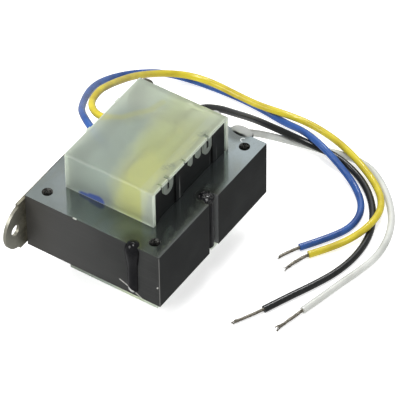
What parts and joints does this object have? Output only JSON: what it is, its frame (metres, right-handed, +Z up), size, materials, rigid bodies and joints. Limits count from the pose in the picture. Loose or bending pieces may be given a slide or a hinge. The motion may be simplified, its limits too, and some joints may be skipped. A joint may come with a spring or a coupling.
{
  "type": "step-down transformer",
  "caption": "Open-frame step-down transformer with welded EI core, milky coil covers, one mounting foot and loose insulated leads with bare ends.",
  "frame": {"origin": "centre of the footprint of the core, covers and foot, on the resting face of the bottom cover; the leads are left out", "axes": "+X from the mounting foot towards the I laminations, +Y along the foot, +Z up through the lamination stack"},
  "size_m": [0.1255, 0.1287, 0.0554],
  "materials": {
    "core_varnish": "glossy",
    "weld_steel": "glossy",
    "zinc_plate": "satin",
    "black_nylon": "satin",
    "cover_nylon": "satin",
    "copper_wire": "glossy",
    "yellow_tape": "glossy",
    "pale_tape": "satin",
    "blue_pvc": "glossy",
    "yellow_pvc": "glossy",
    "black_pvc": "glossy",
    "white_pvc": "glossy",
    "tinned_copper": "satin"
  },
  "bodies": {
    "root": {"e_lamination_stack": "core_varnish", "i_lamination_stack": "core_varnish", "weld_bead_near": "weld_steel", "weld_bead_far": "weld_steel", "weld_bead_groove": "weld_steel", "mounting_foot": "zinc_plate", "foot_weld_beads": "weld_steel", "bobbin": "black_nylon", "primary_winding": "copper_wire", "secondary_winding": "copper_wire", "primary_tape": "yellow_tape", "secondary_tape": "pale_tape", "top_cover": "cover_nylon", "bottom_cover": "cover_nylon", "winding_start_sleeve": "blue_pvc", "splice_sleeve_blue": "pale_tape", "splice_sleeve_yellow": "pale_tape", "splice_sleeve_black": "pale_tape", "splice_sleeve_white": "pale_tape", "lead_blue": "blue_pvc", "lead_yellow": "yellow_pvc", "lead_black": "black_pvc", "lead_white": "white_pvc", "bare_end_blue": "tinned_copper", "bare_end_yellow": "tinned_copper", "bare_end_black": "tinned_copper", "bare_end_white": "tinned_copper"}
  },
  "joints": []
}
